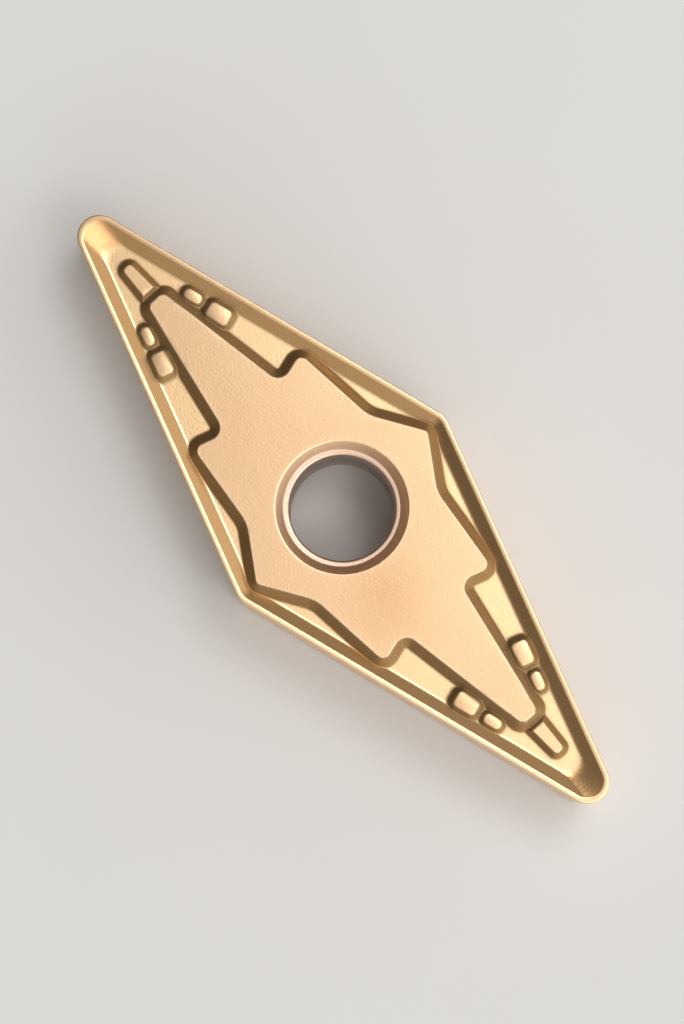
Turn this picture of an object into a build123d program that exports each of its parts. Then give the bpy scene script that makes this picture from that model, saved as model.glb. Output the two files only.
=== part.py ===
from build123d import *
from math import cos, radians, sin, sqrt, tan
import os

# Double-sided turning insert: a 35 degree rhombus with square flanks and a clamping hole.
# Millimetres and degrees. The origin is on the hole's axis, in the plane the insert rests on,
# and the long diagonal lies along X. Both faces and all four quarters of each face are alike.

# Body
inscribed_circle = 9.525
nose_angle = 35.0
thickness = 4.76
nose_radius = 0.8
side_radius = 0.8
hone_radius = 0.05

# Clamping hole
bore_diameter = 3.81
entry_diameter = 4.8
entry_angle = 40.0
ledge_diameter = 4.24
ledge_bevel = 0.08

# Chipbreaker groove behind the cutting edge
seat_rise = 0.08
land_width = 0.2
rake_angle = 31.0
groove_depth = 0.25
floor_nose_radius = 0.5

# Seat island inside the groove. "along" is measured down an edge from its sharp nose corner,
# and "setback" square to that edge, inwards.
wall_angle = 45.0
tip_from_nose = 3.85
flank_angle = 7.2
shoulder_along = 10.93
shoulder_setback = 2.03
tab_setback = 0.74
scallop_from_side = 2.4
scallop_setback = 1.4
point_setback = 0.85
tip_round = 0.28
shoulder_round = 0.45
tab_round = 0.3
scallop_round = 1.4
point_round = 0.2
rim_bevel = 0.04
root = 0.04

# Nose boss: a low finger that runs from the island's tip towards the nose
boss_from_nose = 2.25
boss_front_width = 0.38
boss_back_width = 0.56
boss_height = 0.2
boss_round = 0.15
notch_width = 0.24

# Chip bumps along the groove of each edge: an oblong button, then a block with rounded corners
bump_wall_angle = 45.0
button_along = 6.55
button_setback = 0.92
button_length = 0.72
button_width = 0.4
button_height = 0.16
button_round = 0.18
block_along = 7.68
block_setback = 1.0
block_length = 0.9
block_width = 0.62
block_height = 0.22
block_round = 0.17

# Levels, all on the upper face
mid_level = thickness / 2
edge_level = thickness - seat_rise
floor_level = edge_level - groove_depth
wall_height = thickness - floor_level
rake_width = groove_depth / tan(radians(rake_angle))

half_nose = radians(nose_angle / 2)
inner_radius = inscribed_circle / 2
corner_to_centre = inner_radius / sin(half_nose)
side_to_centre = inner_radius / cos(half_nose)
edge_length = inscribed_circle / sin(radians(nose_angle))
nose_front = corner_to_centre - nose_radius / sin(half_nose) + nose_radius
tip_front = nose_front - tip_from_nose
boss_front = nose_front - boss_from_nose


def from_edge(along, setback):
    """The point of the upper left quarter at a distance along its edge and inwards from it."""
    x = -corner_to_centre + along * cos(half_nose) + setback * sin(half_nose)
    y = along * sin(half_nose) - setback * cos(half_nose)
    return (x, y)


def rhombus(setback, nose):
    """The body's outline drawn in by a setback, with its side radii drawn in as well."""
    with BuildSketch() as outline:
        along_x = corner_to_centre - setback / sin(half_nose)
        along_y = side_to_centre - setback / cos(half_nose)
        with BuildLine():
            Polyline((-along_x, 0), (0, along_y), (along_x, 0), (0, -along_y), close=True)
        make_face()
        by_y = outline.vertices().group_by(Axis.Y)
        fillet(by_y[0] + by_y[-1], max(side_radius - setback, hone_radius))
        by_x = outline.vertices().group_by(Axis.X)
        fillet(by_x[0] + by_x[-1], nose)
    return outline.sketch


# Outline of the seat face, drawn for the upper left quarter and mirrored to the rest
shoulder = from_edge(shoulder_along, shoulder_setback)
tab = from_edge(shoulder_along, tab_setback)
scallop = from_edge(edge_length - scallop_from_side, scallop_setback)
point = (0, side_to_centre - point_setback)
flank_slope = tan(half_nose - radians(flank_angle))
apex_from_centre = -shoulder[0] + shoulder[1] / flank_slope
tip_half_width = (apex_from_centre - tip_front) * flank_slope
tip_fillet = min(tip_round, tip_half_width)

with BuildSketch() as seat_face:
    with BuildLine():
        FilletPolyline(
            (-tip_front, 0),
            (-tip_front, tip_half_width),
            shoulder,
            tab,
            scallop,
            point,
            radius=[tip_fillet, shoulder_round, tab_round, scallop_round],
        )
        mirror(about=Plane.YZ)
        mirror(about=Plane.XZ)
    make_face()
    rows = seat_face.vertices().group_by(Axis.Y)
    fillet(rows[0] + rows[-1], point_round)

# The island: drafted walls that rise from just under the groove floor to the seat face
root_level = floor_level - root
draft = 90 - wall_angle
island_spread = (wall_height + root) * tan(radians(draft))
with BuildPart() as island:
    with BuildSketch(Plane.XY.offset(root_level)):
        add(seat_face.sketch)
        offset(amount=island_spread, kind=Kind.ARC)
    extrude(amount=wall_height + root, taper=draft)
    rim = island.faces().sort_by(Axis.Z)[-1].edges()
    chamfer(rim, rim_bevel)

# The nose boss has walls like the island's, and a notch parts its top from the island's tip
boss_level = floor_level + boss_height
boss_spread = (boss_height + root) * tan(radians(draft))
notch_centre = tip_front + (wall_height - boss_height) * tan(radians(draft)) + notch_width / 2
with BuildPart() as boss:
    with BuildSketch(Plane.XY.offset(root_level)) as boss_foot:
        with BuildLine():
            Polyline(
                (-tip_front, -boss_back_width / 2),
                (-tip_front, boss_back_width / 2),
                (-boss_front, boss_front_width / 2),
                (-boss_front, -boss_front_width / 2),
                close=True,
            )
        make_face()
        fillet(boss_foot.vertices().group_by(Axis.X)[0], boss_round)
        offset(amount=boss_spread, kind=Kind.ARC)
    extrude(amount=boss_height + root, taper=draft)
    with Locations((-notch_centre, 0, boss_level)):
        notch_side = notch_width / sqrt(2)
        Box(notch_side, inscribed_circle, notch_side, rotation=(0, 45, 0), mode=Mode.SUBTRACT)


def chip_bump(along, setback, length, width, height, corner):
    """A block with sloping sides and rounded corners, on the groove floor of the upper left quarter."""
    bump_draft = 90 - bump_wall_angle
    spread = (height + root) * tan(radians(bump_draft))
    with BuildPart() as block:
        with BuildSketch(Plane.XY.offset(root_level)):
            with Locations(from_edge(along, setback)):
                Rectangle(length + 2 * spread, width + 2 * spread, rotation=nose_angle / 2)
        extrude(amount=height + root, taper=bump_draft)
        sloping = block.edges().group_by(Axis.Z)[1]
        fillet(sloping, corner)
    return block.part


# The chip bumps, made in the upper left quarter and mirrored to the rest
button_sizes = (button_length, button_width, button_height, button_round)
block_sizes = (block_length, block_width, block_height, block_round)
with BuildPart() as bumps:
    add(chip_bump(button_along, button_setback, *button_sizes))
    add(chip_bump(block_along, block_setback, *block_sizes))
    mirror(about=Plane.YZ)
    mirror(about=Plane.XZ)

# The hole, with a cone at each mouth that ends in a narrow ledge round the bore
entry_depth = (entry_diameter - ledge_diameter) / 2 / tan(radians(entry_angle))
with BuildPart() as hole:
    with BuildSketch(Plane.XZ) as hole_section:
        with BuildLine():
            Polyline(
                (0, mid_level),
                (bore_diameter / 2, mid_level),
                (bore_diameter / 2, thickness - entry_depth),
                (ledge_diameter / 2, thickness - entry_depth),
                (entry_diameter / 2, thickness),
                (0, thickness),
                close=True,
            )
        make_face()
        throat = hole_section.vertices().group_by(Axis.Y)[1].sort_by(Axis.X)[0]
        chamfer(throat, ledge_bevel)
    revolve(axis=Axis.Z)

# Upper half of the body, then its mirror image below
with BuildPart() as insert:
    with BuildSketch(Plane.XY.offset(mid_level)):
        add(rhombus(0, nose_radius))
    extrude(amount=edge_level - mid_level)
    fillet(insert.faces().sort_by(Axis.Z)[-1].edges(), hone_radius)
    with BuildSketch(Plane.XY.offset(edge_level)):
        add(rhombus(land_width, max(nose_radius - land_width, hone_radius)))
    with BuildSketch(Plane.XY.offset(floor_level)):
        add(rhombus(land_width + rake_width, floor_nose_radius))
    loft(ruled=True, mode=Mode.SUBTRACT)
    add(island.part)
    add(boss.part)
    add(boss.part.mirror(Plane.YZ))
    add(bumps.part)
    add(hole.part, mode=Mode.SUBTRACT)
    mirror(about=Plane.XY.offset(mid_level))

insert.part.label = "insert"
os.makedirs("parts", exist_ok=True)
export_step(insert.part, "parts/insert.step")
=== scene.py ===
"""A coated carbide turning insert, lying on a pale table under soft studio light.

The insert is one pressed and sintered piece: a 35 degree rhombus with a clamping hole, and on each
face a chipbreaker groove round a seat island. Its skin is worked out in one quarter of one face and
mirrored to the other seven.
"""

import logging
import math
from dataclasses import dataclass
from enum import Enum

import bpy
import numpy as np
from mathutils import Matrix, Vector


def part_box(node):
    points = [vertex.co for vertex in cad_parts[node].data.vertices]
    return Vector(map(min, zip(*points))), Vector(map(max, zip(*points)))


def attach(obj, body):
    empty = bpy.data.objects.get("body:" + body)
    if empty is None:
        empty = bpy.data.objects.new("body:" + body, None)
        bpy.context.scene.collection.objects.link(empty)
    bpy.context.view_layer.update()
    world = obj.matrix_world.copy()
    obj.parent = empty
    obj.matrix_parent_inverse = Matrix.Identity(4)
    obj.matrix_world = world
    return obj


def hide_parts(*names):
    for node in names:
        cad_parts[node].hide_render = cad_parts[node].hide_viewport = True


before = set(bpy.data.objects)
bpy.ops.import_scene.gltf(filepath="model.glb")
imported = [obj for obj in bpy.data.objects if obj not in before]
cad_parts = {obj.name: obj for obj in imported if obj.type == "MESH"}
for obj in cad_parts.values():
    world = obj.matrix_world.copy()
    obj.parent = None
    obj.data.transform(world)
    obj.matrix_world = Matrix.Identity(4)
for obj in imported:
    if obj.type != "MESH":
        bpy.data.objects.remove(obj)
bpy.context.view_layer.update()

MM = 0.001
NODE = "insert"
LOG = logging.getLogger(NODE)

# Points whose distances from a path are worked out at once, and how near two points are welded
BLOCK_SIZE = 20000
WELD_GAP = 0.0001 * MM

# Sockets of the colour mix node, which has several of the same name
MIX_FACTOR, MIX_FIRST, MIX_SECOND, MIX_RESULT = 0, 6, 7, 2

Array = np.ndarray
Colour = tuple[float, float, float]
Place = tuple[float, float, float]
Share = tuple[float, float]


# Numbers and lines


def soft_max(first: Array, second: Array, blend: float) -> Array:
    """The higher of two surfaces, with a fillet where they cross.

    The fillet adds the square of what the gap leaves of the blend, over four blends.

    Args:
        first: Heights of one surface.
        second: Heights of the other.
        blend: Gap in height at which the fillet starts.

    Returns:
        The joined heights.
    """
    left = np.maximum(blend - np.abs(first - second), 0.0)
    return np.maximum(first, second) + left**2 / (4 * blend)


def soft_min(first: Array, second: Array, blend: float) -> Array:
    """The lower of two surfaces, rounded over where they cross: soft_max turned upside down."""
    return -soft_max(-first, -second, blend)


def bell(distance: Array, width: float) -> Array:
    """One at no distance and near nothing two widths away: e to the minus (distance / width) squared."""
    return np.exp(-((distance / width) ** 2))


def turned(arms: Array, angles: Array) -> Array:
    """Plane vectors turned by angles, with the usual cosine and sine rule."""
    x, y = arms[..., 0], arms[..., 1]
    return np.stack([x * np.cos(angles) - y * np.sin(angles), x * np.sin(angles) + y * np.cos(angles)], -1)


def rounded_path(corners: list[tuple[float, float]], radii: list[float], steps: int = 14) -> Array:
    """Straight runs through some corners, with a tangent arc at each inner one.

    Where the path turns by an angle, its arc starts the radius times the tangent of half that angle
    before the corner.

    Args:
        corners: The path's corners, ends included.
        radii: One radius for each inner corner.
        steps: How many chords an arc is drawn with.

    Returns:
        The path's points, as rows of x and y.
    """
    ends = np.array(corners, float)
    pieces = [ends[:1]]
    for before, corner, after, radius in zip(ends, ends[1:], ends[2:], radii):
        into = (corner - before) / np.linalg.norm(corner - before)
        away = (after - corner) / np.linalg.norm(after - corner)
        turn = math.atan2(into[0] * away[1] - into[1] * away[0], float(into @ away))
        start = corner - radius * math.tan(abs(turn) / 2) * into
        centre = start + radius * math.copysign(1, turn) * np.array([-into[1], into[0]])
        pieces.append(centre + turned(start - centre, np.linspace(0, turn, steps + 1)))
    pieces.append(ends[-1:])
    return np.concatenate(pieces)


def distance_outside(points: Array, path: Array) -> Array:
    """How far points lie from a path, positive on its right and negative on its left.

    The nearest point of each run is found by projection, and the sign comes from the cross product
    of the nearest run with the way to the point.

    Args:
        points: Any array whose last axis is x and y.
        path: The path's points in order.

    Returns:
        One distance for each point.
    """
    flat = points.reshape(-1, 2)
    start, run = path[:-1], np.diff(path, axis=0)
    found = []
    for block in np.array_split(flat, max(1, len(flat) // BLOCK_SIZE)):
        offset = block[:, None] - start
        along = np.clip((offset * run).sum(-1) / (run**2).sum(-1), 0, 1)
        gap = np.linalg.norm(offset - along[..., None] * run, axis=-1)
        nearest = gap.argmin(1)
        way = offset[np.arange(len(block)), nearest]
        side = run[nearest, 0] * way[:, 1] - run[nearest, 1] * way[:, 0]
        found.append(np.where(side > 0, -1.0, 1.0) * gap.min(1))
    return np.concatenate(found).reshape(points.shape[:-1])


def smoothed(values: Array, axis: int, rounds: int) -> Array:
    """Values averaged with their two neighbours along an axis, several times over.

    Args:
        values: The values, whose ends count as their own missing neighbours.
        axis: The axis to average along.
        rounds: How many times.

    Returns:
        As many values, smoother.
    """
    for _ in range(rounds):
        pad = [(1, 1) if i == axis else (0, 0) for i in range(values.ndim)]
        wide = np.pad(values, pad, mode="edge")
        count = values.shape[axis]
        parts = [np.take(wide, np.arange(shift, shift + count), axis) for shift in (0, 1, 2)]
        values = sum(parts) / 3
    return values


def crowded(weights: Array, count: int) -> Array:
    """Places from 0 to 1 that stand closer together where the weight is high.

    The running total of the weight is cut into equal shares.

    Args:
        weights: Weights at even steps from 0 to 1, one row for each line.
        count: How many spaces each line is cut into.

    Returns:
        One row of count + 1 places for each line.
    """
    steps = (weights[:, 1:] + weights[:, :-1]) / 2
    totals = np.concatenate([np.zeros((len(weights), 1)), np.cumsum(steps, 1)], 1)
    totals /= totals[:, -1:]
    even = np.linspace(0, 1, weights.shape[1])
    shares = np.linspace(0, 1, count + 1)
    return np.stack([np.interp(shares, total, even) for total in totals])


def bend_weight(heights: Array, axis: int, evenness: float) -> Array:
    """How closely a line is sampled: the root of its second difference, plus a share of the mean."""
    bend = np.sqrt(np.abs(np.gradient(np.gradient(heights, axis=axis), axis=axis)))
    return bend + evenness * bend.mean()


# The insert's forms, each in the quarter of the upper face where x and y are positive


@dataclass
class Blank:
    """The rhombus that the insert is pressed to, with its rounded corners and honed edge."""

    inscribed_circle: float = 9.525 * MM
    nose_angle: float = math.radians(35)
    nose_radius: float = 0.8 * MM
    side_radius: float = 0.8 * MM
    hone_radius: float = 0.05 * MM

    def __post_init__(self) -> None:
        """Works out the corners, the arcs' centres and the outline's lengths."""
        half = self.nose_angle / 2
        self.inner_radius = self.inscribed_circle / 2
        self.corner = self.inner_radius / math.sin(half)
        self.side = self.inner_radius / math.cos(half)
        self.edge_length = self.inscribed_circle / math.sin(self.nose_angle)
        self.outward = np.array([math.sin(half), math.cos(half)])
        self.along = np.array([-math.cos(half), math.sin(half)])
        self.nose_centre = np.array([self.corner - self.nose_radius / math.sin(half), 0])
        self.side_centre = np.array([0, self.side - self.side_radius / math.cos(half)])
        self.nose_turn = math.pi / 2 - half
        self.nose_length = self.nose_radius * self.nose_turn
        self.straight = float(np.linalg.norm(self.straight_ends()[1] - self.straight_ends()[0]))
        self.length = self.nose_length + self.straight + self.side_radius * half
        self.nose_front = self.nose_centre[0] + self.nose_radius

    def straight_ends(self) -> tuple[Array, Array]:
        """The two points where the straight edge meets the corner arcs."""
        return (
            self.nose_centre + self.nose_radius * self.outward,
            self.side_centre + self.side_radius * self.outward,
        )

    def from_edge(self, along: float, setback: float) -> tuple[float, float]:
        """The point at a distance along the edge from its sharp nose corner, and inwards from it."""
        x, y = np.array([self.corner, 0]) + along * self.along - setback * self.outward
        return float(x), float(y)

    def outline(self, travel: Array) -> tuple[Array, Array]:
        """The outline, walked from the middle of the nose to the middle of the side corner.

        Args:
            travel: Distances walked.

        Returns:
            The points walked to, and the outward directions there.
        """
        on_nose = np.clip(travel, 0, self.nose_length)
        on_edge = np.clip(travel - self.nose_length, 0, self.straight)
        on_side = np.clip(travel - self.nose_length - self.straight, 0, None)
        angle = on_nose / self.nose_radius + on_side / self.side_radius
        outward = np.stack([np.cos(angle), np.sin(angle)], -1)
        at_side = (on_side > 0)[:, None]
        centre = np.where(at_side, self.side_centre, self.nose_centre)
        radius = np.where(at_side, self.side_radius, self.nose_radius)
        edge_run = np.where(at_side, 0, on_edge[:, None] * self.along)
        return centre + edge_run + radius * outward, outward

    def depth(self, points: Array) -> Array:
        """How far inside the outline points lie.

        That is the distance from the straight edge, or from a corner's arc for a point beside the
        arc's centre.

        Args:
            points: Any array whose last axis is x and y.

        Returns:
            One distance for each point.
        """
        depth = self.inner_radius - points @ self.outward
        for centre, radius, way in (
            (self.nose_centre, self.nose_radius, -1),
            (self.side_centre, self.side_radius, 1),
        ):
            arm = points - centre
            beside = (arm @ self.along) * way > 0
            depth = np.where(beside, radius - np.linalg.norm(arm, axis=-1), depth)
        return depth


@dataclass
class Groove:
    """The chipbreaker groove: a level land behind the edge, a rake down from it, and a floor."""

    blank: Blank
    edge_level: float
    land_width: float = 0.2 * MM
    rake_angle: float = math.radians(31)
    groove_depth: float = 0.25 * MM
    floor_nose_radius: float = 0.5 * MM
    land_blend: float = 0.012 * MM
    floor_blend: float = 0.05 * MM

    @property
    def floor_level(self) -> float:
        """Height of the groove's floor."""
        return self.edge_level - self.groove_depth

    def descent(self, points: Array) -> Array:
        """How far down the rake points lie, as a share that is 0 at the land and 1 at the floor.

        Along the edge the share is the distance from the land over the rake's width. At the nose the
        rake joins the land's arc to the floor's, whose centre and radius change evenly with the share,
        so the share is the root of the quadratic that puts the point on such an arc.

        Args:
            points: Any array whose last axis is x and y.

        Returns:
            One share for each point.
        """
        blank = self.blank
        width = self.groove_depth / math.tan(self.rake_angle)
        share = (blank.depth(points) - self.land_width) / width
        land_radius = blank.nose_radius - self.land_width
        narrowing = land_radius - self.floor_nose_radius
        corner = blank.corner - (self.land_width + width) / math.sin(blank.nose_angle / 2)
        shift = corner - self.floor_nose_radius / math.sin(blank.nose_angle / 2) - blank.nose_centre[0]
        arm = points - blank.nose_centre
        square = narrowing**2 - shift**2
        half = arm[..., 0] * shift - land_radius * narrowing
        rest = land_radius**2 - (arm**2).sum(-1)
        root = np.sqrt(np.maximum(half**2 - square * rest, 0))
        on_arc = (-half - root) / square
        centre = np.stack([on_arc * shift, np.zeros_like(on_arc)], -1)
        beside = (arm - centre) @ blank.along < 0
        return np.where(beside, on_arc, share)

    def height(self, points: Array) -> Array:
        """The groove's surface: level, then falling evenly, then easing into the floor.

        Args:
            points: Any array whose last axis is x and y.

        Returns:
            One height for each point.
        """
        fall = self.edge_level - self.descent(points) * self.groove_depth
        level = soft_min(fall, np.full_like(fall, self.edge_level), self.land_blend)
        return soft_max(level, np.full_like(fall, self.floor_level), self.floor_blend)


@dataclass
class Wall:
    """A drafted wall that falls away all round a level top.

    The brow and the foot are how far the painted shade on it reaches past its rim and its lower end.
    """

    level: float
    slope: float = math.tan(math.radians(45))
    rim_blend: float = 0.035 * MM
    brow: float = 0.045 * MM
    foot: float = 0.09 * MM

    def height(self, outside: Array) -> Array:
        """The top's level, less the slope times the distance outside it, with a rounded rim."""
        falling = self.level - outside * self.slope
        return soft_min(falling, np.full_like(outside, self.level), self.rim_blend)

    def painted_shade(self, outside: Array, ground: Array) -> Array:
        """Painted shade: one on the wall, from its rim to the ground it meets, fading over the brow and the
        foot.
        """
        above = self.level - outside * self.slope - ground
        return np.clip(np.minimum(outside / self.brow, above / self.foot) + 1, 0, 1)


@dataclass
class SeatIsland:
    """The flat island round the hole that the insert is clamped on, with its pockets and scallops."""

    blank: Blank
    wall: Wall
    tip_from_nose: float = 3.85 * MM
    flank_angle: float = math.radians(7.2)
    shoulder_along: float = 10.93 * MM
    shoulder_setback: float = 2.03 * MM
    tab_setback: float = 0.74 * MM
    scallop_from_side: float = 2.4 * MM
    scallop_setback: float = 1.4 * MM
    point_setback: float = 0.85 * MM
    tip_round: float = 0.28 * MM
    shoulder_round: float = 0.45 * MM
    tab_round: float = 0.3 * MM
    scallop_round: float = 1.4 * MM
    point_round: float = 0.2 * MM

    def __post_init__(self) -> None:
        """Works out the island's outline from the blank."""
        blank = self.blank
        self.shoulder = blank.from_edge(self.shoulder_along, self.shoulder_setback)
        self.flank_slope = math.tan(blank.nose_angle / 2 - self.flank_angle)
        self.apex = self.shoulder[0] + self.shoulder[1] / self.flank_slope
        self.tip = blank.nose_front - self.tip_from_nose
        tip_half = (self.apex - self.tip) * self.flank_slope
        scallop = blank.from_edge(blank.edge_length - self.scallop_from_side, self.scallop_setback)
        self.path = rounded_path(
            [
                (self.tip, -tip_half),
                (self.tip, tip_half),
                self.shoulder,
                blank.from_edge(self.shoulder_along, self.tab_setback),
                scallop,
                (0, blank.side - self.point_setback),
                (-scallop[0], scallop[1]),
            ],
            [self.tip_round, self.shoulder_round, self.tab_round, self.scallop_round, self.point_round],
        )

    def outside(self, points: Array) -> Array:
        """How far points lie outside the island's top."""
        return distance_outside(points, self.path)


@dataclass
class NoseBoss:
    """The low finger that runs from the island's tip towards the nose, parted from it by a notch."""

    island: SeatIsland
    wall: Wall
    from_nose: float = 2.25 * MM
    front_width: float = 0.38 * MM
    back_width: float = 0.56 * MM
    front_round: float = 0.15 * MM
    notch_width: float = 0.24 * MM

    def __post_init__(self) -> None:
        """Draws the boss's top and finds the notch's middle, at the foot of the island's tip."""
        island = self.island
        front = island.blank.nose_front - self.from_nose
        half = self.front_width / 2
        back_half = self.back_width / 2
        self.path = rounded_path(
            [(front, -half), (front, half), (island.tip, back_half), (0, back_half)],
            [self.front_round, island.blank.nose_radius],
        )
        foot = (island.wall.level - self.wall.level) / self.wall.slope
        self.notch = island.tip + foot + self.notch_width / 2

    def outside(self, points: Array) -> Array:
        """How far points lie outside the boss's top."""
        return distance_outside(points, self.path)

    def beside_notch(self, points: Array) -> Array:
        """How far points lie outside the notch, along the boss."""
        return np.abs(points[..., 0] - self.notch) - self.notch_width / 2

    def height(self, points: Array) -> Array:
        """The boss's top and walls, cut by a notch whose two sides fall at the wall's slope.

        Past the notch's middle, towards the island, the boss sinks out of the way twice as steeply.

        Args:
            points: Any array whose last axis is x and y.

        Returns:
            One height for each point.
        """
        boss = self.wall.height(self.outside(points))
        cut = soft_min(boss, self.wall.level + self.beside_notch(points), self.wall.rim_blend)
        buried = np.maximum(self.notch - points[..., 0], 0) * self.wall.slope * 2
        return cut - buried


@dataclass
class ChipBump:
    """A bump on the groove's floor that curls the chip: a crowned top with sloping sides all round."""

    blank: Blank
    wall: Wall
    along: float
    setback: float
    length: float
    width: float
    corner: float
    crown: float = 0.03 * MM

    @property
    def half_sides(self) -> Array:
        """Half the top's length and half its width."""
        return np.array([self.length, self.width]) / 2

    def place(self, points: Array) -> Array:
        """How far points lie from the bump's middle, along the edge and square to it."""
        arm = points - np.array(self.blank.from_edge(self.along, self.setback))
        return np.abs(np.stack([arm @ self.blank.along, arm @ self.blank.outward], -1))

    def outside(self, points: Array) -> Array:
        """How far points lie outside the bump's top, a rounded rectangle.

        That is the length of what the point's place beyond the corner centres leaves, less the
        corner's radius.
        """
        beyond = self.place(points) - (self.half_sides - self.corner)
        reach = np.linalg.norm(np.maximum(beyond, 0), axis=-1)
        return reach + np.minimum(beyond.max(-1), 0) - self.corner

    def height(self, points: Array) -> Array:
        """The wall round the top, with a crown that falls from the middle to the rim.

        The crown falls with the mean of the squares of the point's two places, as shares of the
        top's half sides.

        Args:
            points: Any array whose last axis is x and y.

        Returns:
            One height for each point.
        """
        share = np.clip((self.place(points) / self.half_sides) ** 2, 0, 1).sum(-1) / 2
        return self.wall.height(self.outside(points)) - self.crown * share


@dataclass
class ClampHole:
    """The clamping hole, with a cone at each mouth that ends in a narrow ledge round the bore."""

    top: float
    bore_diameter: float = 3.81 * MM
    entry_diameter: float = 4.8 * MM
    entry_angle: float = math.radians(40)
    ledge_diameter: float = 4.24 * MM
    lip_round: float = 0.07 * MM
    corner_round: float = 0.05 * MM
    ledge_round: float = 0.09 * MM
    lip_margin: float = 0.1 * MM
    arc_steps: int = 6

    @property
    def mouth_radius(self) -> float:
        """Radius at which the face gives way to the hole."""
        return self.entry_diameter / 2 + self.lip_margin

    @property
    def ledge_level(self) -> float:
        """Height of the ledge, where the cone ends."""
        return self.top - (self.entry_diameter - self.ledge_diameter) / 2 / math.tan(self.entry_angle)

    def profile(self) -> Array:
        """The hole's section from the face down to the mid plane.

        Returns:
            Rows of radius and height.
        """
        bore = self.bore_diameter / 2
        corners = [
            (self.mouth_radius, self.top),
            (self.entry_diameter / 2, self.top),
            (self.ledge_diameter / 2, self.ledge_level),
            (bore, self.ledge_level),
            (bore, self.top / 2),
        ]
        return rounded_path(corners, [self.lip_round, self.corner_round, self.ledge_round], self.arc_steps)


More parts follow.
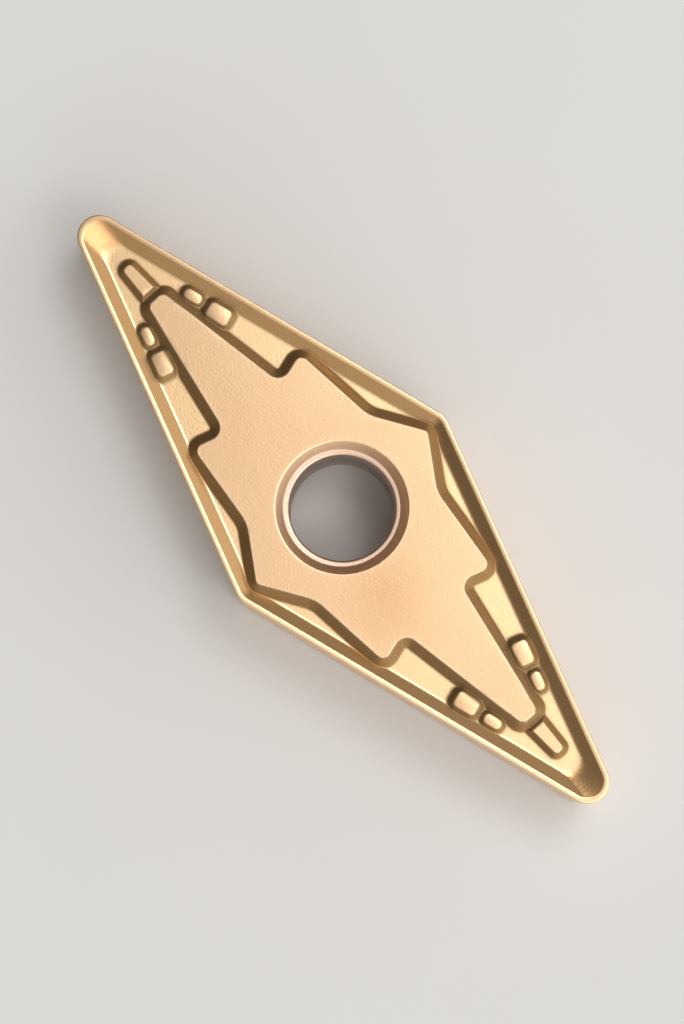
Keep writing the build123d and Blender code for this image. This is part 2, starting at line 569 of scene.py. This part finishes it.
@dataclass
class InsertSkin:
    """The whole insert: its forms joined into one closed skin.

    The skin is a sheet of columns, which run inwards from the outline, and rows across them. The
    nose's columns end on the long axis, those of the hole round the hole's mouth. The corner is the
    upper corner of the box that the skin fills.
    """

    corner: Array
    seat_rise: float = 0.08 * MM
    boss_height: float = 0.2 * MM
    button_height: float = 0.16 * MM
    block_height: float = 0.22 * MM
    form_blend: float = 0.04 * MM

    nose_columns: int = 136
    hole_columns: int = 40
    face_rows: int = 46
    hone_rows: int = 5
    flank_rows: int = 3

    # The nose's columns, in nose radii: where the first ends ahead of the arc's centre, how much of
    # the axis the arc's columns share, and along how much edge the next ones turn square to it
    axis_start: float = 1 / 3
    nose_stretch: float = 0.45
    easing_stretch: float = 2.0

    # How the columns and rows crowd: steps tried, shares of even spacing, rounds of smoothing
    fine_steps: int = 320
    column_evenness: float = 0.7
    column_rounds: int = 12
    row_evenness: float = 0.3
    row_rounds: int = 4
    neighbour_rounds: int = 6

    # How far the finish's tones reach, painted highlights among them
    floor_fade: float = 0.1 * MM
    rim_highlight_reach: float = 0.07 * MM
    edge_highlight_reach: float = 0.09 * MM
    edge_highlight_rise: float = 0.12 * MM
    lip_highlight_reach: float = 0.07 * MM
    hole_fade: float = 0.2 * MM
    rake_margin: float = 1 / 8

    def __post_init__(self) -> None:
        """Sets up the forms on their levels."""
        self.thickness = self.corner[2]
        self.blank = Blank()
        self.groove = Groove(self.blank, self.thickness - self.seat_rise)
        floor = self.groove.floor_level
        self.island = SeatIsland(self.blank, Wall(self.thickness))
        self.boss = NoseBoss(self.island, Wall(floor + self.boss_height))
        button = Wall(floor + self.button_height)
        block = Wall(floor + self.block_height)
        self.bumps = [
            ChipBump(
                self.blank,
                button,
                along=6.55 * MM,
                setback=0.92 * MM,
                length=0.72 * MM,
                width=0.4 * MM,
                corner=0.18 * MM,
            ),
            ChipBump(
                self.blank,
                block,
                along=7.68 * MM,
                setback=1.0 * MM,
                length=0.9 * MM,
                width=0.62 * MM,
                corner=0.17 * MM,
            ),
        ]
        self.hole = ClampHole(self.thickness)

    def height(self, points: Array) -> Array:
        """The upper face's height: the highest of its forms, with fillets between them.

        Args:
            points: Any array whose last axis is x and y.

        Returns:
            One height for each point.
        """
        surface = self.groove.height(points)
        forms = [self.island.wall.height(self.island.outside(points)), self.boss.height(points)]
        forms += [bump.height(points) for bump in self.bumps]
        for form in forms:
            surface = soft_max(surface, form, self.form_blend)
        return np.minimum(surface, self.thickness)

    def painted_wall_shade(self, plan: Array) -> Array:
        """Painted shade: one on the walls of the island, boss, notch and bumps, fading just beside them.

        Args:
            plan: Points as x and y.

        Returns:
            A number from 0 to 1 for each point.
        """
        ground = self.groove.height(plan)
        forms = [self.island, self.boss, *self.bumps]
        painted_shades = [form.wall.painted_shade(form.outside(plan), ground) for form in forms]
        notch = np.clip(1 - self.boss.beside_notch(plan) / self.boss.wall.brow, 0, 1)
        painted_shades.append(np.where(self.boss.outside(plan) < 0, notch, 0))
        on_seat = self.island.outside(plan) < -self.island.wall.brow
        return np.where(on_seat, 0, np.max(painted_shades, 0))

    def inner_line(self, travel: Array) -> Array:
        """Where the columns from the outline end: on the long axis, then round the hole's mouth.

        Columns from the nose's arc share a short stretch of the axis, those after it turn until they
        are square to the edge, and the last go evenly round the quarter of the mouth.

        Args:
            travel: Distances walked along the outline.

        Returns:
            The columns' inner ends.
        """
        blank = self.blank
        mouth = self.hole.mouth_radius
        first = blank.nose_centre[0] + self.axis_start * blank.nose_radius
        easing = self.easing_stretch * blank.nose_radius
        axis_run = first - mouth
        cosine = -blank.along[0]
        square_at = first - (blank.nose_centre[0] - easing / cosine)
        inner = np.interp(
            travel,
            [0, blank.nose_length, blank.nose_length + easing, self.hole_travel(), blank.length],
            [0, self.nose_stretch * blank.nose_radius, square_at, axis_run, axis_run + mouth * math.pi / 2],
        )
        angle = np.maximum(inner - axis_run, 0) / mouth
        x = np.where(inner < axis_run, first - inner, mouth * np.cos(angle))
        return np.stack([x, mouth * np.sin(angle)], -1)

    def hole_travel(self) -> float:
        """The distance along the outline at which the columns turn from the axis to the hole."""
        blank = self.blank
        reach = (blank.nose_centre[0] - self.hole.mouth_radius) * -blank.along[0]
        return blank.nose_length + reach

    def face_line(self, travel: Array, places: Array) -> Array:
        """Points of the face, from the land's inner side to the inner line.

        Args:
            travel: Distances walked along the outline, one for each column.
            places: Places from 0 to 1 on each column, one row for each column.

        Returns:
            An array of columns, places, and x and y.
        """
        outline, outward = self.blank.outline(travel)
        start = outline - self.groove.land_width * outward
        return start[:, None] + places[..., None] * (self.inner_line(travel) - start)[:, None]

    def columns(self) -> Array:
        """Where the skin's columns start, closer together where the face bends along the outline.

        Returns:
            Distances walked along the outline.
        """
        placed = []
        for low, high, count in (
            (0, self.hole_travel(), self.nose_columns),
            (self.hole_travel(), self.blank.length, self.hole_columns),
        ):
            even = np.linspace(low, high, 2 * self.fine_steps)
            places = np.tile(np.linspace(0, 1, self.fine_steps // 2), (len(even), 1))
            weight = bend_weight(self.height(self.face_line(even, places)), 0, 0).max(1)
            weight = smoothed(weight[None], 1, self.column_rounds)
            weight += self.column_evenness * weight.mean()
            placed.append(low + (high - low) * crowded(weight, count)[0])
        return np.concatenate([placed[0], placed[1][1:]])

    def face_grid(self, travel: Array) -> Array:
        """The face's points, with rows that crowd where the section bends.

        Args:
            travel: Distances walked along the outline, one for each column.

        Returns:
            An array of rows, columns, and x, y and height.
        """
        even = np.tile(np.linspace(0, 1, self.fine_steps), (len(travel), 1))
        heights = self.height(self.face_line(travel, even))
        weight = bend_weight(heights, 1, self.row_evenness)
        weight = smoothed(smoothed(weight, 1, self.row_rounds), 0, self.neighbour_rounds)
        flat = self.face_line(travel, crowded(weight, self.face_rows))
        return np.concatenate([flat, self.height(flat)[..., None]], -1).swapaxes(0, 1)

    def edge_grid(self, travel: Array) -> Array:
        """The flank from the mid plane up, and the hone's quarter round from it to the land.

        Args:
            travel: Distances walked along the outline, one for each column.

        Returns:
            An array of rows, columns, and x, y and height.
        """
        outline, outward = self.blank.outline(travel)
        hone = self.blank.hone_radius
        angle = np.linspace(0, math.pi / 2, self.hone_rows + 1)
        setback = hone * (1 - np.cos(angle))
        level = self.groove.edge_level - hone * (1 - np.sin(angle))
        flank = np.linspace(self.thickness / 2, level[0], self.flank_rows, endpoint=False)
        setback = np.concatenate([np.zeros(self.flank_rows), setback])
        level = np.concatenate([flank, level])
        plan = outline - setback[:, None, None] * outward
        return raised(plan, level)

    def hole_grid(self, mouth: Array) -> Array:
        """The hole's section carried round the quarter of its mouth.

        Args:
            mouth: The points of the mouth.

        Returns:
            An array of rows, columns, and x, y and height.
        """
        profile = self.hole.profile()
        around = mouth[:, :2] / self.hole.mouth_radius
        return raised(profile[:, None, :1] * around, profile[:, 1])

    def tones(self, points: Array) -> dict[str, Array]:
        """What the finish follows over the skin, as numbers from 0 to 1.

        Args:
            points: Points of one quarter of the upper half.

        Returns:
            groove: how deep a point lies below the seat; rim: painted highlight by how near it is to an edge
            that stands out; mouth: how near it is to the hole's wall; bore: painted shade by how far below
            the ledge; wall: painted shade where it lies on a wall of the face's forms; rake: whether on
            the rake.
        """
        plan = points[:, :2]
        level = points[:, 2]
        depth = self.blank.depth(plan)
        descent = self.groove.descent(plan)
        wall_height = self.thickness - self.groove.floor_level
        on_face = np.clip((level - self.groove.floor_level + self.floor_fade) / self.floor_fade, 0, 1)
        radius = np.linalg.norm(plan, axis=-1)
        entry = self.hole.entry_diameter / 2
        off_mouth = radius > self.hole.mouth_radius
        # Painted highlights along the island's rim, the cutting edge and the hole's lip
        rim = bell(self.island.outside(plan), self.rim_highlight_reach) * off_mouth
        edge = bell(depth, self.edge_highlight_reach) * bell(level - self.groove.edge_level, self.edge_highlight_rise)
        lip_highlight = bell(radius - entry, self.lip_highlight_reach)
        sunk = np.clip((self.thickness - level) / wall_height, 0, 1)
        inside = np.clip((entry - radius) / self.hole_fade, 0, 1)
        below_ledge = np.clip((self.hole.ledge_level - level) / self.hole_fade, 0, 1)
        on_rake = np.clip(np.minimum(descent, 1 - descent) / self.rake_margin + 0.5, 0, 1)
        return {
            "groove": sunk * on_face * off_mouth,
            "rim": np.clip(np.maximum(rim, np.maximum(edge, lip_highlight)), 0, 1),
            "mouth": inside,
            "bore": inside * below_ledge,
            "wall": self.painted_wall_shade(plan) * on_face * off_mouth,
            "rake": on_rake * on_face,
        }

    def build(self) -> bpy.types.Object:
        """Makes the skin from one quarter of the upper half and its seven mirror images.

        Returns:
            The insert's object, at the origin.
        """
        travel = self.columns()
        face = self.face_grid(travel)
        edge = self.edge_grid(travel)
        sheet = np.concatenate([edge, face])
        sheet[:, 0, 1] = 0
        sheet[:, -1, 0] = 0
        sheet[-1, : self.nose_columns + 1, 1] = 0
        sheet[..., :2] *= self.corner[:2] / sheet[..., :2].max((0, 1))
        hole = self.hole_grid(sheet[-1, self.nose_columns :])
        points = np.concatenate([sheet.reshape(-1, 3), hole.reshape(-1, 3)])
        sheet_count = sheet.shape[0] * sheet.shape[1]
        quads = np.concatenate([grid_quads(sheet, 0), grid_quads(hole, sheet_count)])
        return mirrored_mesh(NODE + "_skin", points, quads, self.tones(points), self.thickness)


def raised(plan: Array, levels: Array) -> Array:
    """A grid of x and y with one height for each row added."""
    heights = np.broadcast_to(levels[:, None, None], plan.shape[:2] + (1,))
    return np.concatenate([plan, heights], -1)


def grid_quads(grid: Array, first: int) -> Array:
    """The faces between neighbouring points of a grid.

    Args:
        grid: An array of rows, columns and coordinates.
        first: The number of the grid's first point.

    Returns:
        Rows of four point numbers.
    """
    rows, columns = grid.shape[:2]
    index = first + np.arange(rows * columns).reshape(rows, columns)
    corners = [index[:-1, :-1], index[:-1, 1:], index[1:, 1:], index[1:, :-1]]
    return np.stack(corners, -1).reshape(-1, 4)


def mirrored_mesh(
    name: str, points: Array, quads: Array, tones: dict[str, Array], thickness: float
) -> bpy.types.Object:
    """One closed mesh from an eighth of it, mirrored about all three middle planes and welded.

    An image made by an odd number of mirrors has its faces turned round, so that all point outwards.
    Points that fall together become one, and faces that lose their area by that are dropped.

    Args:
        name: The object's name.
        points: The eighth's points.
        quads: Its faces.
        tones: Numbers at its points, kept as attributes.
        thickness: Height of the whole, whose lower side is at height 0.

    Returns:
        The object, linked to the scene.
    """
    clouds, faces = [], []
    for image, (x, y, z) in enumerate(np.ndindex(2, 2, 2)):
        signs = np.array([1 - 2 * x, 1 - 2 * y, 1 - 2 * z])
        clouds.append(points * signs + np.array([0, 0, z * thickness]))
        turn = -1 if (x + y + z) % 2 else 1
        faces.append(quads[:, ::turn] + image * len(points))
    cloud = np.concatenate(clouds)
    keys = np.round(cloud / WELD_GAP).astype(np.int64)
    _, kept, weld = np.unique(keys, axis=0, return_index=True, return_inverse=True)
    corners = weld.reshape(-1)[np.concatenate(faces)]
    whole = (corners != np.roll(corners, 1, 1)).all(1) & (corners[:, 0] != corners[:, 2])
    corners = corners[whole & (corners[:, 1] != corners[:, 3])]
    mesh = bpy.data.meshes.new(name)
    mesh.from_pydata(cloud[kept], [], corners)
    mesh.polygons.foreach_set("use_smooth", np.ones(len(corners), bool))
    for tone, values in tones.items():
        layer = mesh.attributes.new(tone, "FLOAT", "POINT")
        layer.data.foreach_set("value", np.tile(values, len(clouds))[kept].astype(np.float32))
    mesh.validate()
    mesh.update()
    made = bpy.data.objects.new(name, mesh)
    bpy.context.scene.collection.objects.link(made)
    return made


# Finishes


class Signal:
    """A number that flows through a node tree, so that shader maths is written as an expression."""

    def __init__(self, tree: bpy.types.NodeTree, socket: bpy.types.NodeSocket) -> None:
        """Wraps an output socket of a tree."""
        self.tree = tree
        self.socket = socket

    def joined(self, operation: str, *terms: "Signal | float") -> "Signal":
        """Adds a Math node.

        Args:
            operation: What it does.
            terms: Its inputs in order.

        Returns:
            The node's result.
        """
        node = self.tree.nodes.new("ShaderNodeMath")
        node.operation = operation
        for slot, term in zip(node.inputs, terms):
            if isinstance(term, Signal):
                self.tree.links.new(term.socket, slot)
            else:
                slot.default_value = term
        return Signal(self.tree, node.outputs[0])

    def __add__(self, other: "Signal | float") -> "Signal":
        """The sum."""
        return self.joined("ADD", self, other)

    def __sub__(self, other: "Signal | float") -> "Signal":
        """The difference."""
        return self.joined("SUBTRACT", self, other)

    def __rsub__(self, other: float) -> "Signal":
        """The difference, with the number first."""
        return self.joined("SUBTRACT", other, self)

    def __mul__(self, other: "Signal | float") -> "Signal":
        """The product."""
        return self.joined("MULTIPLY", self, other)

    def __pow__(self, other: float) -> "Signal":
        """The number raised to a power."""
        return self.joined("POWER", self, other)

    def clamped(self) -> "Signal":
        """The number held between 0 and 1."""
        return self.joined("MINIMUM", self.joined("MAXIMUM", self, 0.0), 1.0)

    __radd__ = __add__
    __rmul__ = __mul__


class Recipe:
    """One node tree, with a single way to add a node."""

    def __init__(self, owner: bpy.types.Material | bpy.types.World, shader: str) -> None:
        """Turns the owner's nodes on and finds its shader by name."""
        owner.use_nodes = True
        self.owner = owner
        self.tree = owner.node_tree
        self.shader = self.tree.nodes[shader]

    def node(self, kind: str, settings: dict[str, object], inputs: dict[str | int, object]) -> bpy.types.Node:
        """Adds a node.

        Args:
            kind: The node's type.
            settings: Its own settings, which are set first.
            inputs: What goes into its sockets: a Signal, a socket or a plain value.

        Returns:
            The node.
        """
        made = self.tree.nodes.new(kind)
        for key, value in settings.items():
            setattr(made, key, value)
        self.feed(made, inputs)
        return made

    def feed(self, node: bpy.types.Node, inputs: dict[str | int, object]) -> None:
        """Sets or links a node's sockets.

        Args:
            node: The node.
            inputs: For each socket, a Signal, a socket or a plain value.
        """
        for key, value in inputs.items():
            source = value.socket if isinstance(value, Signal) else value
            if isinstance(source, bpy.types.NodeSocket):
                self.tree.links.new(source, node.inputs[key])
            else:
                node.inputs[key].default_value = source

    def place(self) -> bpy.types.NodeSocket:
        """Where a point lies on the piece, in the piece's own coordinates."""
        return self.node("ShaderNodeTexCoord", {}, {}).outputs["Object"]

    def noise(self, size: float, detail: float = 2.0, roughness: float = 0.5) -> Signal:
        """Cloudy noise from 0 to 1 whose blotches are about a size across."""
        inputs = {"Vector": self.place(), "Scale": 1 / size, "Detail": detail, "Roughness": roughness}
        return Signal(self.tree, self.node("ShaderNodeTexNoise", {}, inputs).outputs["Fac"])

    def apart(self, place: Place) -> Signal:
        """How far a point of the piece lies from a place."""
        node = self.node("ShaderNodeVectorMath", {"operation": "DISTANCE"}, {0: self.place(), 1: place})
        return Signal(self.tree, node.outputs["Value"])

    def tone(self, name: str) -> Signal:
        """One of the piece's own attributes."""
        node = self.node("ShaderNodeAttribute", {"attribute_name": name}, {})
        return Signal(self.tree, node.outputs["Fac"])

    def blend(self, factor: Signal, first: object, second: object) -> bpy.types.NodeSocket:
        """A colour that goes from the first to the second as the factor goes from 0 to 1."""
        inputs = {MIX_FACTOR: factor, MIX_FIRST: first, MIX_SECOND: second}
        return self.node("ShaderNodeMix", {"data_type": "RGBA"}, inputs).outputs[MIX_RESULT]

    def bump(self, height: Signal, rise: float) -> bpy.types.NodeSocket:
        """A normal that follows a height from 0 to 1, which stands for a real rise."""
        return self.node("ShaderNodeBump", {}, {"Height": height, "Distance": rise}).outputs["Normal"]


def rgba(colour: Colour) -> tuple[float, float, float, float]:
    """A colour with full alpha."""
    return (*colour, 1.0)


def speckled(noise: Signal, share: Share) -> Signal:
    """A plain share, plus what the noise adds to it."""
    return noise * share[1] + share[0]


@dataclass(frozen=True)
class CoatedCarbide:
    """A thin bronze-gold coating on sintered carbide: satin, faintly grained, with painted edge highlights.
    """

    seat: Colour = (0.84, 0.568, 0.337)
    seat_shade: Colour = (0.78, 0.495, 0.282)
    # A darker tan patch on the seat round one place, fading with distance from it
    tan_patch: Colour = (0.7, 0.43, 0.23)
    groove: Colour = (0.94, 0.64, 0.355)
    rake: Colour = (0.84, 0.49, 0.21)
    # Painted shade on the walls of the face's forms and just past their feet
    wall: Colour = (0.35, 0.235, 0.11)
    # Painted highlight at the cutting edge, the island's rim and the hole's lip
    edge: Colour = (0.98, 0.76, 0.5)
    mouth: Colour = (0.78, 0.565, 0.44)
    # Painted shade in the bore, below the ledge
    bore: Colour = (0.3, 0.23, 0.19)
    roughness: float = 0.34
    groove_roughness: float = 0.3
    wall_roughness: float = 0.56
    rake_roughness: float = 0.2
    grain_size: float = 0.09 * MM
    grain_rise: float = 0.004 * MM
    cloud_size: float = 5 * MM
    noise_detail: float = 3.0
    grain_fineness: float = 0.6
    tan_patch_place: Place = (3.3 * MM, -0.9 * MM, 4.76 * MM)
    tan_patch_reach: float = 1.9 * MM

    # How far a tone takes the colour over: the plain share, and what the grain or cloud adds to it
    seat_share: Share = (-0.3, 1.6)
    tan_patch_share: Share = (0.32, 0.8)
    groove_share: Share = (0.8, 0.4)
    edge_highlight_share: Share = (0.1, 0.8)
    wall_shade_share: Share = (0.75, 0.3)
    rake_share: float = 0.85
    mouth_share: float = 0.8
    edge_highlight_lost_on_wall: float = 0.6

    # What the grain and the cloud add to the roughness
    grain_roughness: float = 0.12
    cloud_roughness: float = 0.06

    def material(self) -> bpy.types.Material:
        """Mixes the coating's tones by cloud, depth, painted wall shade and edge highlight; adds the sintered
        grain.

        Returns:
            The material.
        """
        recipe = Recipe(bpy.data.materials.new("coated_carbide"), "Principled BSDF")
        cloud = recipe.noise(self.cloud_size, self.noise_detail)
        grain = recipe.noise(self.grain_size, self.noise_detail, self.grain_fineness)
        groove = recipe.tone("groove")
        rim = recipe.tone("rim")
        mouth = recipe.tone("mouth")
        wall = recipe.tone("wall")
        rake = recipe.tone("rake") * (1.0 - wall)
        # The darker tan patch round its place
        tan_patch = (1.0 - recipe.apart(self.tan_patch_place) * (1 / self.tan_patch_reach)).clamped()
        # Painted highlight at the edges, weaker where shade is painted on the walls
        edge = (rim * speckled(grain, self.edge_highlight_share)).clamped() * (1.0 - wall * self.edge_highlight_lost_on_wall)
        clouded = speckled(cloud, self.seat_share).clamped()
        colour = recipe.blend(clouded, rgba(self.seat), rgba(self.seat_shade))
        for part, tone in (
            (tan_patch * speckled(cloud, self.tan_patch_share), self.tan_patch),
            ((groove * speckled(grain, self.groove_share)).clamped(), self.groove),
            (rake * self.rake_share, self.rake),
            (edge, self.edge),
            # Painted shade on the walls
            (wall * speckled(grain, self.wall_shade_share), self.wall),
            (mouth * self.mouth_share, self.mouth),
            # Painted shade in the bore
            (recipe.tone("bore"), self.bore),
        ):
            colour = recipe.blend(part, colour, rgba(tone))
        roughness = self.roughness + (grain - 0.5) * self.grain_roughness
        roughness = roughness + (cloud - 0.5) * self.cloud_roughness
        roughness = roughness + groove * (self.groove_roughness - self.roughness)
        roughness = roughness + rake * (self.rake_roughness - self.groove_roughness)
        roughness = roughness + wall * (self.wall_roughness - self.groove_roughness)
        inputs = {
            "Base Color": colour,
            "Metallic": 1.0,
            "Roughness": roughness,
            "Normal": recipe.bump(grain, self.grain_rise),
        }
        recipe.feed(recipe.shader, inputs)
        return recipe.owner


@dataclass(frozen=True)
class PaleTable:
    """A matt pale table top with the faintest mottling."""

    light: Colour = (0.88, 0.87, 0.855)
    dark: Colour = (0.84, 0.83, 0.815)
    mottle_size: float = 14 * MM
    roughness: float = 0.7

    def material(self) -> bpy.types.Material:
        """Blends two near-white tones.

        Returns:
            The material.
        """
        recipe = Recipe(bpy.data.materials.new("pale_table"), "Principled BSDF")
        colour = recipe.blend(recipe.noise(self.mottle_size), rgba(self.light), rgba(self.dark))
        recipe.feed(recipe.shader, {"Base Color": colour, "Roughness": self.roughness})
        return recipe.owner


# The set


class Lamp(Enum):
    """The studio's lamps: direction from the object as azimuth and elevation, width and power."""

    KEY = ("key", 186.0, 70.0, 90 * MM, 0.13)
    SIDE = ("side", 92.0, 64.0, 80 * MM, 0.09)
    OVERHEAD = ("overhead", 100.0, 80.0, 210 * MM, 0.062)


@dataclass
class Studio:
    """The table, the lamps, the world's light and the camera."""

    target: Vector
    azimuth: float = 48.2
    elevation: float = 86.0
    lens: float = 120.0
    frame_height: float = 37.5 * MM
    sensor: float = 36.0
    lamp_distance: float = 300 * MM
    table_width: float = 600 * MM
    horizon: Colour = (0.07, 0.068, 0.066)
    zenith: Colour = (0.09, 0.09, 0.09)
    glow: Colour = (1.65, 1.62, 1.57)
    glow_share: float = 0.9
    glow_way: tuple[float, float] = (0.58, 0.1)

    def direction(self, azimuth: float, elevation: float) -> Vector:
        """The way out from the object, where azimuth 0 is along -Y and 90 along +X."""
        a, e = math.radians(azimuth), math.radians(elevation)
        return Vector((math.sin(a) * math.cos(e), -math.cos(a) * math.cos(e), math.sin(e)))

    def aim(self, thing: bpy.types.Object, way: Vector, distance: float) -> None:
        """Puts a thing at a distance from the target and points it there.

        Args:
            thing: The camera or lamp.
            way: The way out from the target.
            distance: How far out.
        """
        bpy.context.scene.collection.objects.link(thing)
        thing.location = self.target + way * distance
        thing.rotation_euler = (-way).to_track_quat("-Z", "Y").to_euler()

    def camera(self) -> None:
        """A long lens whose frame is as high as asked at the target."""
        data = bpy.data.cameras.new("camera")
        data.lens = self.lens
        data.sensor_width = self.sensor
        data.clip_start = MM
        camera = bpy.data.objects.new("camera", data)
        distance = self.frame_height * self.lens / self.sensor
        self.aim(camera, self.direction(self.azimuth, self.elevation), distance)
        bpy.context.scene.camera = camera

    def lamps(self) -> None:
        """Square soft boxes, placed as the Lamp list says."""
        for lamp in Lamp:
            name, azimuth, elevation, width, power = lamp.value
            data = bpy.data.lights.new(name, "AREA")
            data.size = width
            data.energy = power
            self.aim(bpy.data.objects.new(name, data), self.direction(azimuth, elevation), self.lamp_distance)

    def world(self) -> None:
        """A world that grows brighter upwards, with a soft glow from one side.

        The glow is the square of a half plus the direction's place along the glow's way, held
        between 0 and 1.
        """
        world = bpy.data.worlds.new("studio")
        bpy.context.scene.world = world
        recipe = Recipe(world, "Background")
        way = recipe.node("ShaderNodeTexCoord", {}, {}).outputs["Generated"]
        parts = recipe.node("ShaderNodeSeparateXYZ", {}, {0: way}).outputs
        up = Signal(recipe.tree, parts["Z"]).clamped()
        across = Signal(recipe.tree, parts["X"]) * self.glow_way[0]
        across = across + Signal(recipe.tree, parts["Y"]) * self.glow_way[1]
        side = (across + 0.5).clamped() ** 2.0
        colour = recipe.blend(up, rgba(self.horizon), rgba(self.zenith))
        colour = recipe.blend(side * self.glow_share, colour, rgba(self.glow))
        recipe.feed(recipe.shader, {"Color": colour})

    def table(self) -> bpy.types.Object:
        """The flat table top at the height that the insert rests on.

        Returns:
            The table's object.
        """
        half = self.table_width / 2
        mesh = bpy.data.meshes.new("table")
        ends = np.array([[-half, -half, 0], [half, -half, 0], [half, half, 0], [-half, half, 0]])
        mesh.from_pydata(ends, [], [(0, 1, 2, 3)])
        table = bpy.data.objects.new("table", mesh)
        bpy.context.scene.collection.objects.link(table)
        table.data.materials.append(PaleTable().material())
        return table

    def build(self) -> None:
        """Sets the table, lamps, world and camera, and the plain view transform."""
        self.table()
        self.lamps()
        self.world()
        self.camera()
        bpy.context.scene.view_settings.view_transform = "Standard"


def main() -> None:
    """Builds the insert and its set, and reports each piece."""
    logging.basicConfig(level=logging.INFO, format="%(message)s")
    low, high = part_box(NODE)
    insert = InsertSkin(corner=np.array(high)).build()
    insert.data.materials.append(CoatedCarbide().material())
    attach(insert, "root")
    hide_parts(NODE)
    LOG.info("%s: %d faces", insert.name, len(insert.data.polygons))
    Studio(target=(low + high) / 2).build()


if __name__ == "__main__":
    main()
